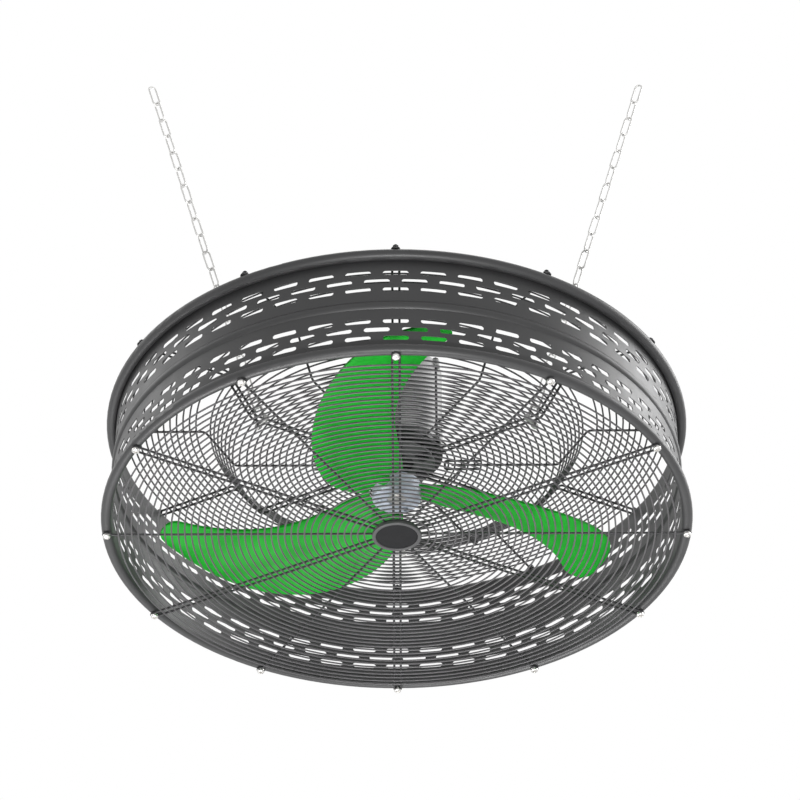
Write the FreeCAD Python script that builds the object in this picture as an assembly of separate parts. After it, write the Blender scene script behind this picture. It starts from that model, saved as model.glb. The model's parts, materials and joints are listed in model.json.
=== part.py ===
import FreeCAD, Part
import math
import os

V = FreeCAD.Vector
os.makedirs("parts", exist_ok=True)

# Drum
RIM_R = 433.0            # radius of the rolled rims' centre line, and of the screw circle
CURL_R = 8.0             # outside radius of a rolled rim
CURL_SWEEP = 310.0       # how far the sheet is rolled round, in degrees
SHEET = 1.2              # drum sheet
DRUM_H = 187.0           # height over both rims
BEAD_H = 14.0            # height of the stiffening bead
BEAD_D = 3.2             # how far the bead stands out
SLOT_L = 36.5
SLOT_H = 7.7
SLOTS_ROUND = 50
SLOT_ROW_PITCH = 15.0
SLOT_BAND_Z = 43.5       # middle row of each band, from mid height
FIXINGS = 12             # fastenings round each rim

# Guards
SPOKE_D = 3.5
RING_D = 2.6
RING_PITCH = 9.9
RING_CLEAR = 6.0         # least distance of a rear ring from a bend
RING_OUTER_R = 415.0
RING_INNER_R = 46.0      # no front ring is smaller
REAR_RING_INNER_R = 74.0  # no rear ring is smaller
HAIRPIN_HALF = 5.1       # half the distance between the legs of a double spoke
SEAT_GAP = 0.05          # gap left between pieces that are welded or clamped together
DISH_OUTER_R = 292.5     # upper bend of the rear guard
DISH_INNER_R = 245.0     # lower bend of the rear guard
DISH_Z = 124.5           # height of the dished middle's spokes
BEND_R = 12.0
LUG_IN_R = 73.0
LUG_OUT_R = 128.0
LUG_HALF = 10.5
LUG_CORNER_R = 4.0
SINGLE_IN_R = 22.0       # inner end of the front spokes
REAR_SINGLE_IN_R = 71.0
REAR_LUG_SPOKE_IN_R = 83.0
REAR_HAIRPIN_IN_R = 36.0

# Rim fastenings
SCREW_R = 2.5
SCREW_HOLE_R = 2.7
SCREW_HEAD_R = 5.75
SCREW_HEAD_H = 4.0
SCREW_L = 13.0
NUT_AF = 8.0
NUT_H = 4.0
STUD_PROUD = 2.0
STUD_HEAD_R = 4.6
STUD_HEAD_H = 2.5
HOLE_FREE = 0.2          # radial clearance of the small screws in plain holes

# Front cap
CAP_R = 31.0
CAP_T = 3.8
CAP_RING_R = 37.0
CAP_RING_T = 5.0
CAP_FIT = 0.15
CAP_PLATE_R = 33.0
CAP_PLATE_T = 2.0
CAP_EDGE_R = 0.8
CAP_RING_EDGE_R = 1.6
CAP_SCREWS = 3
CAP_SCREW_FIRST = 15.0
CAP_SCREW_CIRCLE = 12.0
CAP_SCREW_R = 1.6
CAP_SCREW_HEAD_R = 3.2
CAP_SCREW_HEAD_H = 2.0

# Motor carrier
PLATE_R = 58.0
PLATE_T = 3.0
PLATE_BORE_R = 26.0
MOUNT_CIRCLE = 46.0
ISOLATOR_R = 10.0
ISOLATOR_H = 11.0
ISOLATOR_EDGE_R = 1.2
WASHER_R = 9.0
WASHER_T = 2.0
MOUNT_DEPTH = 7.5
MOUNT_HEAD_H = 4.0

# Motor
MOTOR_R = 70.0
MOTOR_WALL = 7.0
SHIELD_T = 10.0
HOUSING_L = 134.5
REAR_SHIELD_T = 16.0
REAR_EDGE_R = 8.0
SPIGOT_L = 4.0
RODS = 4
ROD_R = 2.5
ROD_HOLE_R = 2.7
ROD_FLUTE_R = 3.6
ROD_CIRCLE = 69.5
ROD_ANGLE = -30.0        # first tie rod
EAR_R = 6.5
REAR_EAR_T = 12.0
ROD_NUT_AF = 8.0
ROD_NUT_H = 4.0
CORE_L = 70.0
STATOR_BORE_R = 38.0
AIR_GAP = 0.5
WINDING_IN_R = 42.0
WINDING_OUT_R = 58.0
WINDING_L = 20.0
FIT = 0.02               # locating clearance on a radius
SHAFT_FREE = 1.0         # clearance of the shaft in the front shield

# Bearings: bore radius, outer radius, width, ball circle radius, ball radius
FRONT_BEARING = (10.0, 23.5, 14.0, 16.75, 3.97)
REAR_CIRCLE_R = 14.25
REAR_BALL_R = REAR_CIRCLE_R * FRONT_BEARING[4] / FRONT_BEARING[3]    # both ball sets then turn at one speed
REAR_BEARING = (8.5, 20.0, 12.0, REAR_CIRCLE_R, REAR_BALL_R)
BALLS = 8
BALL_FREE = 0.06
BEARING_LAND = 0.72      # share of the ball radius left as groove shoulder
CAGE_T = 3.2
CAGE_H = 5.0

# Shaft and hub
SHAFT_MID_R = 11.0
HUB_SEAT_R = 9.5
HUB_R = 37.0
HUB_H = 28.0
HUB_Z = 74.0             # height of the split between the hub's halves
HUB_SPLIT = 0.3
HUB_EDGE_R = 3.0
SHANK_R = 9.0
SHANK_FIT = 0.05
SHANK_IN_R = 17.0
COLLAR_R = 11.0
COLLAR_AT = 20.0
COLLAR_T = 5.0
KEY_W = 6.0
KEY_T = 6.0
KEY_L = 17.0
HUB_BOLT_CIRCLE = 26.0
HUB_BOLT_R = 2.5
HUB_BOLT_HEAD_R = 4.4
HUB_BOLT_HEAD_H = 3.6
HUB_BOLT_END = 3.0       # metal left over the clamp bolts' holes
SHAFT_BOLT_R = 4.0
SHAFT_BOLT_AF = 13.0
SHAFT_BOLT_H = 5.3
SHAFT_BOLT_DEPTH = 18.0
HUB_WASHER_R = 14.0
HUB_WASHER_T = 3.0
COUNTERBORE_Z = 5.5

# Blades: radius, angle of the low edge, angle of the high edge, height of each edge
BLADES = 3
BLADE_FIRST = 30.0
BLADE_TABLE = (
    (45.0, -72.0, 12.0, 63.0, 84.0),
    (106.0, -58.6, 2.1, 43.0, 81.0),
    (174.0, -42.7, -0.7, 31.5, 80.5),
    (243.0, -30.0, 2.2, 33.0, 83.5),
    (312.0, -17.6, 7.9, 50.0, 90.0),
    (381.0, 3.0, 15.6, 84.0, 98.5),
)
BLADE_T = 4.0
BLADE_CAMBER = 5.0
BLADE_TIP_BULGE = 8.0    # how far the tip's middle stands beyond its corners
BLADE_TIP_CORNER_R = 24.0
BLADE_HUB_GAP = 1.2
SHANK_ANGLE = -29.0
KNUCKLE_R = 11.0         # round shoulder between a blade and its root
KNUCKLE_L = 16.0
KNUCKLE_EDGE = 3.0
ROOT_L = 70.0            # length of the root fairing outside the hub
ROOT_DROP = 12.0
ROOT_TIP_R = 3.0

# Terminal box
BOX_ANGLE = 105.0
BOX_W = 70.0
BOX_OUT_R = 104.0
BOX_H = 56.0
BOX_Z = 212.0
BOX_WALL = 3.0
BOX_EDGE_R = 4.0
BOX_LAP = 8.0            # how far the box's blank reaches into the motor before it is cut to fit
POST_R = 5.0
POST_L = 22.0
LID_T = 3.0
LID_SCREW_R = 1.8
LID_SCREW_HEAD_R = 3.4
LID_SCREW_IN = 6.0
LID_SCREW_DEPTH = 13.5
GLAND_BORE_R = 5.5
GLAND_AF = 24.0
GLAND_L = 22.0
GLAND_THREAD_R = 8.0
GLAND_THREAD_L = 10.0
GLAND_SHIFT = 4.0        # how far the gland lies outside the middle of the box's depth
BLOCK_L = 40.0
BLOCK_W = 14.0
BLOCK_H = 18.0
BLOCK_SHIFT = 4.0
WAY_R = 2.4              # wire ways in the terminal block
WAY_PITCH = 11.2
WAY_DEPTH = 8.0

# Chains
CHAINS = (("left", 210.0), ("right", -30.0), ("rear", 90.0))
SHACKLE_IN = 14.0        # how far the shackle pins lie inside the dish's lower bend
CHAIN_LEAN = 20.0        # lean of a chain from the vertical, outwards
LINKS = 19
LINK_D = 2.8
LINK_INNER_L = 31.05
LINK_W = 15.0
LINK_SLACK = 0.1
SHACKLE_D = 4.0
SHACKLE_JAW = 16.4       # clear width between the shackle's legs
SHACKLE_REACH = 28.0     # pin centre to the bow's centre line
SHACKLE_EYE_R = 5.0
SHACKLE_EYE_T = 4.6
PIN_R = 2.5
PIN_HEAD_R = 4.2
PIN_HEAD_T = 3.0
PIN_FREE = 0.3           # gap between the pin and the spoke legs above it
SWING_FREE = 0.6         # gap between a shackle and the rings beside it, at either end of its swing


# Small shape tools
def tube(r_out, r_in, z0, z1):
    body = Part.makeCylinder(r_out, z1 - z0, V(0, 0, z0))
    if r_in <= 0:
        return body
    return body.cut(Part.makeCylinder(r_in, z1 - z0 + 2, V(0, 0, z0 - 1)))


def disc(r, z0, z1, x=0.0, y=0.0):
    return Part.makeCylinder(r, z1 - z0, V(x, y, z0))


def hexagon(af, z0, z1, x=0.0, y=0.0):
    r = af / math.sqrt(3.0)
    corners = [V(x + r * math.cos(math.radians(60 * k)), y + r * math.sin(math.radians(60 * k)), z0)
               for k in range(7)]
    return Part.Face(Part.makePolygon(corners)).extrude(V(0, 0, z1 - z0))


def turned(shape, angle, centre=V(0, 0, 0), axis=V(0, 0, 1)):
    copy = shape.copy()
    copy.rotate(centre, axis, angle)
    return copy


def moved(shape, vector):
    copy = shape.copy()
    copy.translate(vector)
    return copy


def around(shape, angles):
    return [turned(shape, a) for a in angles]


def steps(count, first=0.0):
    return [first + 360.0 * k / count for k in range(count)]


def polar(r, angle, z=0.0):
    return V(r * math.cos(math.radians(angle)), r * math.sin(math.radians(angle)), z)


def line(a, b):
    return Part.makeLine(a, b)


def arc(a, b, c):
    return Part.Arc(a, b, c).toShape()


def rod(edges, d):
    path = Part.Wire(edges)
    start = edges[0].valueAt(edges[0].FirstParameter)
    way = edges[0].tangentAt(edges[0].FirstParameter)
    ring = Part.Wire(Part.makeCircle(d / 2.0, start, way))
    return path.makePipeShell([ring], True, False)


def solid_of(shape):
    found = shape.Solids
    if len(found) != 1:
        raise ValueError("expected one solid, found %d" % len(found))
    return found[0]


# Heights
MID_Z = DRUM_H / 2.0
FRONT_SPOKE_Z = -SEAT_GAP - SPOKE_D / 2.0
FRONT_RING_Z = FRONT_SPOKE_Z - SPOKE_D / 2.0 - RING_D / 2.0 - SEAT_GAP
REAR_SPOKE_Z = DRUM_H + SEAT_GAP + SPOKE_D / 2.0
RING_RISE = SPOKE_D / 2.0 + RING_D / 2.0 + SEAT_GAP
PLATE_Z = DISH_Z + SPOKE_D / 2.0 + SEAT_GAP
MOTOR_Z = PLATE_Z + PLATE_T + ISOLATOR_H + 2 * SEAT_GAP
HOUSING_Z = MOTOR_Z + SHIELD_T + SEAT_GAP
REAR_SHIELD_Z = HOUSING_Z + HOUSING_L + SEAT_GAP
MOTOR_TOP = REAR_SHIELD_Z + REAR_SHIELD_T
CHAIN_R = DISH_INNER_R - SHACKLE_IN
PIN_Z = DISH_Z - SPOKE_D / 2.0 - PIN_FREE - PIN_R
LINK_STEP = LINK_INNER_L - LINK_SLACK
LINK_FIRST = SHACKLE_REACH - SHACKLE_D / 2.0 + LINK_INNER_L / 2.0 - LINK_SLACK
CHAIN_L = LINK_FIRST + (LINKS - 1) * LINK_STEP + LINK_INNER_L / 2.0
TOP_Z = PIN_Z + CHAIN_L * math.cos(math.radians(CHAIN_LEAN))

HAIRPIN_ANGLES = steps(FIXINGS // 2, -90.0)
SINGLE_ANGLES = steps(FIXINGS // 2, 0.0)
RIM_ANGLES = steps(FIXINGS, 0.0)


def export(name, shape):
    body = Part.makeCompound(shape) if isinstance(shape, list) else shape
    body = moved(body, V(0, 0, -TOP_Z))
    if not body.isValid():
        raise ValueError("invalid shape: " + name)
    body.exportStep("parts/%s.step" % name)


# Drum shell: one rolled sheet with a curl at each end, a bead and six rows of slots
def drum_shell():
    inner = RIM_R - CURL_R
    outer = inner + SHEET
    r_in = CURL_R - SHEET
    end = 180.0 - CURL_SWEEP

    def top_curl(r, a):
        return V(RIM_R + r * math.cos(math.radians(a)), 0, DRUM_H - CURL_R + r * math.sin(math.radians(a)))

    def low_curl(r, a):
        return V(RIM_R + r * math.cos(math.radians(a)), 0, CURL_R - r * math.sin(math.radians(a)))

    def curl(place, r, back):
        middle = 0.5 * (180.0 + end)
        first = (180.0, 0.5 * (180.0 + middle), middle)
        second = (middle, 0.5 * (middle + end), end)
        runs = (first, second)
        if back:
            runs = (second[::-1], first[::-1])
        return [arc(*[place(r, a) for a in run]) for run in runs]

    half = BEAD_H / 2.0
    edges = [line(V(inner, 0, CURL_R), V(inner, 0, MID_Z - half)),
             arc(V(inner, 0, MID_Z - half), V(inner + BEAD_D, 0, MID_Z), V(inner, 0, MID_Z + half)),
             line(V(inner, 0, MID_Z + half), V(inner, 0, DRUM_H - CURL_R))]
    edges += curl(top_curl, CURL_R, False)
    edges += [line(top_curl(CURL_R, end), top_curl(r_in, end))]
    edges += curl(top_curl, r_in, True)
    edges += [line(V(outer, 0, DRUM_H - CURL_R), V(outer, 0, MID_Z + half)),
              arc(V(outer, 0, MID_Z + half), V(outer + BEAD_D, 0, MID_Z), V(outer, 0, MID_Z - half)),
              line(V(outer, 0, MID_Z - half), V(outer, 0, CURL_R))]
    edges += curl(low_curl, r_in, False)
    edges += [line(low_curl(r_in, end), low_curl(CURL_R, end))]
    edges += curl(low_curl, CURL_R, True)
    shell = Part.Face(Part.Wire(edges)).revolve(V(0, 0, 0), V(0, 0, 1), 360)

    x = inner - CURL_R
    straight = (SLOT_L - SLOT_H) / 2.0
    h = SLOT_H / 2.0
    slot = Part.Wire([line(V(x, -straight, -h), V(x, straight, -h)),
                      arc(V(x, straight, -h), V(x, straight + h, 0), V(x, straight, h)),
                      line(V(x, straight, h), V(x, -straight, h)),
                      arc(V(x, -straight, h), V(x, -straight - h, 0), V(x, -straight, -h))])
    slot = Part.Face(slot).extrude(V(2 * CURL_R + SHEET, 0, 0))
    tools = []
    pitch = 360.0 / SLOTS_ROUND
    for band in (-1, 1):
        for row in (-1, 0, 1):
            z = MID_Z + band * SLOT_BAND_Z + row * SLOT_ROW_PITCH
            first = -90.0 + (pitch / 2.0 if row == 0 else 0.0)
            tools += around(moved(slot, V(0, 0, z)), steps(SLOTS_ROUND, first))
    tools += around(disc(SCREW_HOLE_R, -1, CURL_R, RIM_R), RIM_ANGLES)
    tools += around(disc(SCREW_HOLE_R, DRUM_H - CURL_R, DRUM_H + 1, RIM_R), RIM_ANGLES)
    return solid_of(shell.cut(tools))


# Guard wires
def hairpin(path):
    """A double spoke: path gives a leg's edges from the inner end, made twice with a turn round the screw."""
    legs = path(HAIRPIN_HALF)
    tip = legs[-1].valueAt(legs[-1].LastParameter)
    turn = arc(tip, V(tip.x + HAIRPIN_HALF, 0, tip.z), V(tip.x, -HAIRPIN_HALF, tip.z))
    leg = rod(legs, SPOKE_D)
    back = rod(path(-HAIRPIN_HALF), SPOKE_D)
    bow = rod([turn], SPOKE_D)
    return solid_of(leg.fuse([bow, back]).removeSplitter())


def eyelet(path):
    leg = rod(path, SPOKE_D)
    tip = path[-1].valueAt(path[-1].LastParameter)
    eye = Part.makeTorus(HAIRPIN_HALF, SPOKE_D / 2.0, V(tip.x + HAIRPIN_HALF, 0, tip.z))
    return solid_of(leg.fuse(eye))


def flat_path(r_in, r_out, z):
    return lambda y: [line(V(r_in, y, z), V(r_out, y, z))]


def dish_corners(y, r_in, r_out):
    """The rear spoke's line from the inner end: flat, up the dish's side, flat, with rounded bends."""
    a = V(r_in, y, DISH_Z)
    b = V(DISH_INNER_R, y, DISH_Z)
    c = V(DISH_OUTER_R, y, REAR_SPOKE_Z)
    d = V(r_out, y, REAR_SPOKE_Z)
    out = []
    start = a
    for corner, nxt, before in ((b, c, a), (c, d, b)):
        u = (before - corner).normalize()
        w = (nxt - corner).normalize()
        half = math.acos(max(-1.0, min(1.0, u.dot(w)))) / 2.0
        cut = BEND_R / math.tan(half)
        p = corner + u * cut
        q = corner + w * cut
        mid = corner + (u + w).normalize() * (BEND_R / math.sin(half) - BEND_R)
        out += [line(start, p), arc(p, mid, q)]
        start = q
    return out + [line(start, d)]


def dish_path(r_in, r_out):
    return lambda y: dish_corners(y, r_in, r_out)


def ring(r, z):
    return Part.makeTorus(r, RING_D / 2.0, V(0, 0, z))


def front_rings():
    count = int((RING_OUTER_R - RING_INNER_R) / RING_PITCH) + 1
    return [ring(RING_OUTER_R - k * RING_PITCH, FRONT_RING_Z) for k in range(count)]


def rear_rim_rings():
    """The rings on the rear guard's outer flat."""
    out = []
    r = RING_OUTER_R
    while r > DISH_OUTER_R + RING_CLEAR:
        out.append(ring(r, REAR_SPOKE_Z + RING_RISE))
        r -= RING_PITCH
    return out


def rear_dish_rings():
    """The rings on the side of the rear guard's dish."""
    rise = REAR_SPOKE_Z - DISH_Z
    run = DISH_OUTER_R - DISH_INNER_R
    slope = math.hypot(rise, run)
    count = int((slope - 2 * RING_CLEAR) / RING_PITCH) + 1
    first = (slope - (count - 1) * RING_PITCH) / 2.0
    out = []
    for k in range(count):
        s = (first + k * RING_PITCH) / slope
        out.append(ring(DISH_INNER_R + s * run - RING_RISE * rise / slope,
                        DISH_Z + s * rise + RING_RISE * run / slope))
    return out


def rear_floor_rings():
    """The rings on the dish's floor: one outside the shackles, the others inside them."""
    lean = math.radians(CHAIN_LEAN)
    z = DISH_Z + RING_RISE
    side = SHACKLE_D / 2.0 + RING_D / 2.0 + SWING_FREE
    leaned = CHAIN_R + (side + (z - PIN_Z) * math.sin(lean)) / math.cos(lean)
    out = [ring(math.hypot(leaned, (SHACKLE_JAW + SHACKLE_D) / 2.0), z)]
    r = CHAIN_R - side
    while r > REAR_RING_INNER_R:
        out.append(ring(r, z))
        r -= RING_PITCH
    return out


def lug():
    a, b, c = LUG_OUT_R, LUG_IN_R, LUG_CORNER_R
    h = LUG_HALF
    s = c * (1 - math.sqrt(0.5))
    z = DISH_Z
    edges = [line(V(a, h, z), V(b + c, h, z)),
             arc(V(b + c, h, z), V(b + s, h - s, z), V(b, h - c, z)),
             line(V(b, h - c, z), V(b, c - h, z)),
             arc(V(b, c - h, z), V(b + s, s - h, z), V(b + c, -h, z)),
             line(V(b + c, -h, z), V(a, -h, z))]
    return rod(edges, SPOKE_D)


# Fastenings
def pan_screw(r, head_r, head_h, length, z, slot=True):
    """A screw that points up: the head's flat side is at z, and the head hangs below it."""
    head = Part.makeCylinder(head_r, head_h, V(0, 0, z - head_h))
    head = head.makeFillet(head_h * 0.55, [head.Edges[i] for i in range(len(head.Edges))
                                           if abs(head.Edges[i].BoundBox.ZMax - (z - head_h)) < 1e-6])
    body = head.fuse(disc(r, z, z + length))
    if slot:
        w = head_r * 0.22
        reach = head_r * 0.6
        depth = head_h * 0.45
        for dx, dy in ((reach, w), (w, reach)):
            body = body.cut(Part.makeBox(2 * dx, 2 * dy, depth + 1, V(-dx, -dy, z - head_h - 1)))
    return solid_of(body)


def nut(af, hole_r, z0, z1):
    return hexagon(af, z0, z1).cut(disc(hole_r, z0 - 1, z1 + 1))


# Bearings
def bearing(size, z):
    bore, out_r, width, circle, ball = size
    groove = Part.makeTorus(circle, ball + BALL_FREE, V(0, 0, z + width / 2.0))
    land = ball * BEARING_LAND
    inner = tube(circle - land, bore + FIT, z, z + width).cut(groove)
    outer = tube(out_r - FIT, circle + land, z, z + width).cut(groove)
    balls = [Part.makeSphere(ball, polar(circle, a, z + width / 2.0)) for a in steps(BALLS)]
    pockets = [Part.makeSphere(ball + BALL_FREE, polar(circle, a, z + width / 2.0)) for a in steps(BALLS)]
    mid = z + width / 2.0
    cage = tube(circle + CAGE_T / 2.0, circle - CAGE_T / 2.0, mid - CAGE_H / 2.0, mid + CAGE_H / 2.0)
    cage = cage.cut(pockets)
    return solid_of(inner), solid_of(outer), balls + cage.Solids


# Motor
def rod_ears(z0, z1):
    return around(disc(EAR_R, z0, z1, ROD_CIRCLE), steps(RODS, ROD_ANGLE))


def rod_holes(r, z0, z1):
    return around(disc(r, z0, z1, ROD_CIRCLE), steps(RODS, ROD_ANGLE))


FRONT_SEAT_RISE = 1.5    # from the housing's ends to the bearings' seats
REAR_SEAT_DROP = 15.0
FRONT_SEAT_Z = HOUSING_Z + FRONT_SEAT_RISE
REAR_SEAT_Z = REAR_SHIELD_Z - REAR_SEAT_DROP
CORE_Z = HOUSING_Z + (HOUSING_L - CORE_L) / 2.0
BEARING_BOSS = 8.0


def front_shield():
    bore, out_r, width, circle, ball = FRONT_BEARING
    top = MOTOR_Z + SHIELD_T
    body = disc(MOTOR_R, MOTOR_Z, top).fuse(rod_ears(MOTOR_Z, top))
    body = body.fuse([disc(MOTOR_R - MOTOR_WALL - FIT, top, top + SPIGOT_L),
                      disc(out_r + BEARING_BOSS, top, FRONT_SEAT_Z + width)])
    cuts = [disc(out_r + BEARING_BOSS + 4, top, top + SPIGOT_L + 1).cut(
                disc(out_r + BEARING_BOSS, top - 1, top + SPIGOT_L + 2)),
            disc(out_r, FRONT_SEAT_Z, FRONT_SEAT_Z + width + 1),
            disc(bore + SHAFT_FREE, MOTOR_Z - 1, FRONT_SEAT_Z + 1)]
    cuts += rod_holes(ROD_HOLE_R, MOTOR_Z - 1, top + 1)
    mount_hole = disc(SCREW_R + 2 * FIT, MOTOR_Z - 1, MOTOR_Z + MOUNT_DEPTH, MOUNT_CIRCLE)
    cuts += around(mount_hole, HAIRPIN_ANGLES)
    body = body.cut(cuts)
    return solid_of(body.removeSplitter())


def rear_shield():
    bore, out_r, width, circle, ball = REAR_BEARING
    z = REAR_SHIELD_Z
    cap = disc(MOTOR_R, z, MOTOR_TOP)
    cap = cap.makeFillet(REAR_EDGE_R, [e for e in cap.Edges if e.BoundBox.ZMin > MOTOR_TOP - 0.01])
    body = cap.fuse(rod_ears(z, z + REAR_EAR_T))
    spigot = disc(MOTOR_R - MOTOR_WALL - FIT, z - SPIGOT_L, z)
    body = body.fuse([spigot, disc(out_r + BEARING_BOSS, REAR_SEAT_Z, z)])
    flat = disc(ROD_NUT_AF * 0.75, z + REAR_EAR_T, MOTOR_TOP + 1, ROD_CIRCLE)
    flats = around(flat, steps(RODS, ROD_ANGLE))
    body = body.cut([disc(out_r, REAR_SEAT_Z - 1, REAR_SEAT_Z + width)] + flats
                    + rod_holes(ROD_HOLE_R, z - SPIGOT_L - 1, MOTOR_TOP + 1))
    return solid_of(body.removeSplitter())


def housing():
    body = tube(MOTOR_R, MOTOR_R - MOTOR_WALL, HOUSING_Z, HOUSING_Z + HOUSING_L)
    body = body.cut(rod_holes(ROD_FLUTE_R, HOUSING_Z - 1, HOUSING_Z + HOUSING_L + 1))
    return solid_of(body)


def winding(z0, z1):
    body = tube(WINDING_OUT_R, WINDING_IN_R, z0, z1)
    edge = min(z1 - z0, WINDING_OUT_R - WINDING_IN_R) * 0.35
    rims = [e for e in body.Edges if abs(e.BoundBox.ZLength) < 1e-6]
    return body.makeFillet(edge, rims)


# Shaft and hub
SHAFT_END_Z = HUB_Z - HUB_H / 2.0 + COUNTERBORE_Z + 0.5
HUB_LOW = HUB_Z - HUB_H / 2.0
HUB_TOP = HUB_Z + HUB_H / 2.0
KEY_Z = HUB_TOP - KEY_L - KEY_T / 2.0


def shaft():
    front = FRONT_BEARING[0]
    rear = REAR_BEARING[0]
    front_top = FRONT_SEAT_Z + FRONT_BEARING[2]
    body = disc(HUB_SEAT_R, SHAFT_END_Z, HUB_TOP).fuse([
        disc(front, HUB_TOP, front_top),
        disc(SHAFT_MID_R, front_top, REAR_SEAT_Z),
        disc(rear, REAR_SEAT_Z, REAR_SEAT_Z + REAR_BEARING[2] - 0.5)])
    body = body.cut([disc(SHAFT_BOLT_R, SHAFT_END_Z - 1, SHAFT_END_Z + SHAFT_BOLT_DEPTH + 1),
                     key_block(FIT)])
    return solid_of(body.removeSplitter())


def key_block(free):
    """The key in its seat, or the seat with a clearance."""
    w = KEY_W + 2 * free
    return Part.makeBox(KEY_T + 2 * free, w, KEY_L + 2 * free,
                        V(HUB_SEAT_R - KEY_T / 2.0 - free, -w / 2.0, KEY_Z - free))


SHANK_ANGLES = steps(BLADES, BLADE_FIRST + SHANK_ANGLE)
HUB_BOLT_ANGLES = steps(BLADES, BLADE_FIRST + SHANK_ANGLE + 180.0 / BLADES)


def shank(r_free, reach):
    """A blade's round root in the hub, along +X, with the collar that stops it pulling out."""
    x = V(1, 0, 0)
    stem_l = reach - SHANK_IN_R + 2 * r_free
    stem = Part.makeCylinder(SHANK_R + r_free, stem_l, V(SHANK_IN_R - r_free, 0, HUB_Z), x)
    collar = Part.makeCylinder(COLLAR_R + r_free, COLLAR_T + 2 * r_free, V(COLLAR_AT - r_free, 0, HUB_Z), x)
    return stem.fuse(collar)


def hub_half(low):
    z0, z1 = (HUB_LOW, HUB_Z - HUB_SPLIT / 2.0) if low else (HUB_Z + HUB_SPLIT / 2.0, HUB_TOP)
    body = disc(HUB_R, z0, z1)
    face = z0 if low else z1
    body = body.makeFillet(HUB_EDGE_R, [e for e in body.Edges
                                        if abs(e.BoundBox.ZMin - face) < 1e-6 and abs(e.BoundBox.ZMax - face) < 1e-6])
    cuts = [disc(HUB_SEAT_R + FIT, HUB_LOW - 1, HUB_TOP + 1), key_block(2 * FIT)]
    cuts += around(shank(SHANK_FIT, HUB_R + 5.0), SHANK_ANGLES)
    hole = HUB_BOLT_R + (HOLE_FREE if low else FIT)
    deep = HUB_TOP - HUB_BOLT_END
    cuts += around(disc(hole, HUB_LOW - 1, deep, HUB_BOLT_CIRCLE), HUB_BOLT_ANGLES)
    if low:
        cuts.append(disc(HUB_WASHER_R + 0.5, HUB_LOW - 1, HUB_LOW + COUNTERBORE_Z))
    return solid_of(body.cut(cuts))


# Blades
def blade_point(row, s):
    r, low, high, z_low, z_high = row
    bulge = BLADE_CAMBER * 4.0 * s * (1.0 - s)
    return polar(r, low + s * (high - low), z_low + s * (z_high - z_low) - bulge)


def stretched(first, second, share):
    return tuple(a + share * (a - b) for a, b in zip(first, second))


def curve(points):
    spline = Part.BSplineCurve()
    spline.interpolate(points)
    return spline.toShape()


def blade():
    rows = [stretched(BLADE_TABLE[0], BLADE_TABLE[1], 0.25)]
    rows += list(BLADE_TABLE)
    rows.append(stretched(BLADE_TABLE[-1], BLADE_TABLE[-2], 0.25))
    grid = [[blade_point(row, s) for s in (-0.12, 0.2, 0.5, 0.8, 1.12)] for row in rows]
    skin = Part.BSplineSurface()
    skin.interpolate(grid)
    sheet = skin.toShape().extrude(V(0, 0, BLADE_T))

    low_edge = [polar(row[0], row[1]) for row in BLADE_TABLE]
    high_edge = [polar(row[0], row[2]) for row in BLADE_TABLE]
    root, tip = BLADE_TABLE[0], BLADE_TABLE[-1]
    outline = Part.Wire([
        curve(low_edge),
        arc(low_edge[-1], polar(tip[0] + BLADE_TIP_BULGE, 0.5 * (tip[1] + tip[2])), high_edge[-1]),
        curve(high_edge[::-1]),
        arc(high_edge[0], polar(root[0], 0.5 * (root[1] + root[2])), low_edge[0])])
    prism = Part.Face(outline).extrude(V(0, 0, 400.0))
    prism.translate(V(0, 0, -100.0))
    corners = []
    for e in prism.Edges:
        box = e.BoundBox
        if box.ZLength > 300.0 and math.hypot(box.XMin, box.YMin) > tip[0] - 5.0:
            corners.append(e)
    prism = prism.makeFillet(BLADE_TIP_CORNER_R, corners)
    paddle = solid_of(sheet.common(prism))

    start = HUB_R + BLADE_HUB_GAP
    stem = shank(0.0, start + KNUCKLE_L / 2.0)
    knuckle = Part.makeCylinder(KNUCKLE_R, KNUCKLE_L, V(start, 0, HUB_Z), V(1, 0, 0))
    knuckle = knuckle.makeChamfer(KNUCKLE_EDGE, [e for e in knuckle.Edges if e.BoundBox.XLength < 1e-6])
    way = V(ROOT_L, 0, -ROOT_DROP)
    foot = V(start + KNUCKLE_L / 2.0, 0, HUB_Z)
    taper = Part.makeCone(KNUCKLE_R * 0.85, ROOT_TIP_R, way.Length, foot, way)
    fairing = turned(solid_of(stem.fuse([knuckle, taper])), SHANK_ANGLE)
    gap = disc(HUB_R + BLADE_HUB_GAP, -10, DRUM_H)
    return solid_of(paddle.cut(gap).fuse(fairing))


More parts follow.
